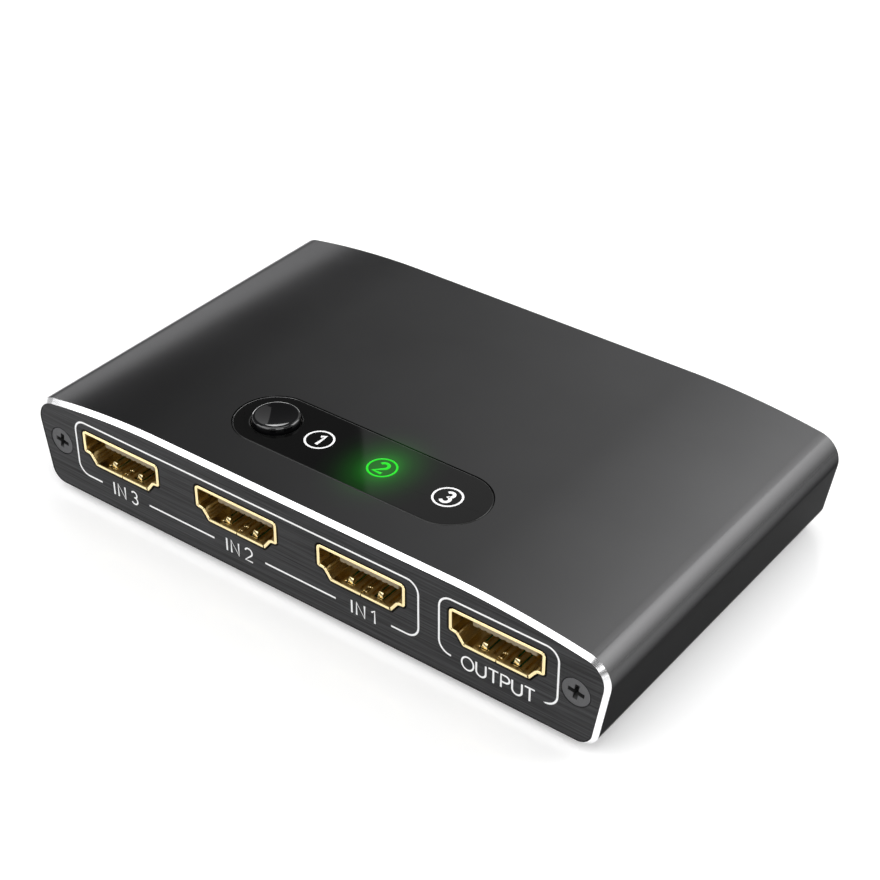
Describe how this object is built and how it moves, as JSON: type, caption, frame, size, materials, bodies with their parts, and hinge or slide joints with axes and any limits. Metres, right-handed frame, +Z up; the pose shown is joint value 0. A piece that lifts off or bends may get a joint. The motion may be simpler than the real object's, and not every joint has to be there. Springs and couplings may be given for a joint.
{
  "type": "video switch box",
  "caption": "Low black metal box with a crowned top, a row of video sockets in the front plate, a panel of lit numbers and a push button that selects the input sent to the output.",
  "frame": {"origin": "middle of the footprint on the plane under the feet", "axes": "+X along the port row to the output socket's end, +Y from the ports to the rear, +Z up"},
  "size_m": [0.1, 0.061, 0.0191],
  "materials": {
    "black_anodised": "satin black anodised, with a bright cut chamfer at the ends",
    "brushed_dark": "dark grey, brushed along the port row",
    "screw_steel": "blackened, satin",
    "foot_rubber": "matt",
    "gloss_black": "high gloss, smoked",
    "tape": "thin film",
    "button_black": "high gloss",
    "black_moulding": "moulded, matt",
    "contact_gold": "gold flashed",
    "bright_steel": "plated, bright",
    "clear_acrylic": "clear, polished",
    "lamp": "pale lens",
    "board_green": "solder mask",
    "port_gold": "pale gold plate",
    "port_moulding": "moulded, dark",
    "chip_black": "moulded, matt",
    "can_aluminium": "drawn can",
    "print_white": "screen print",
    "print_green": "screen print lit from below"
  },
  "bodies": {
    "box": {"housing": "black_anodised", "front_plate": "brushed_dark", "rear_plate": "brushed_dark", "front_screws": "screw_steel", "rear_screws": "screw_steel", "rubber_feet": "foot_rubber", "top_panel": "gloss_black", "panel_tape": "tape", "switch_base": "black_moulding", "switch_terminals": "bright_steel", "switch_dome": "contact_gold", "switch_cover": "bright_steel", "light_shroud": "black_moulding", "light_guides": "clear_acrylic", "indicator_leds": "lamp", "ir_receiver": "black_moulding", "main_board": "board_green", "power_shell": "bright_steel", "power_insulator": "black_moulding", "power_contacts": "contact_gold", "switch_chip": "chip_black", "control_chip": "chip_black", "regulator": "chip_black", "crystal": "bright_steel", "capacitors": "can_aluminium", "surge_chips": "chip_black", "resistors": "chip_black", "port_shell_in3": "port_gold", "port_insulator_in3": "port_moulding", "port_contacts_in3": "contact_gold", "port_shell_in2": "port_gold", "port_insulator_in2": "port_moulding", "port_contacts_in2": "contact_gold", "port_shell_in1": "port_gold", "port_insulator_in1": "port_moulding", "port_contacts_in1": "contact_gold", "port_shell_out": "port_gold", "port_insulator_out": "port_moulding", "port_contacts_out": "contact_gold"},
    "button": {"select_button": "button_black", "switch_plunger": "black_moulding"}
  },
  "joints": [
    {"name": "button_press", "type": "slide", "parent": "box", "child": "button", "axis": [0, 0, -1], "range_m": [0, 0.0004], "stiffness_N_per_m": 1500, "springref_m": -0.0005}
  ]
}
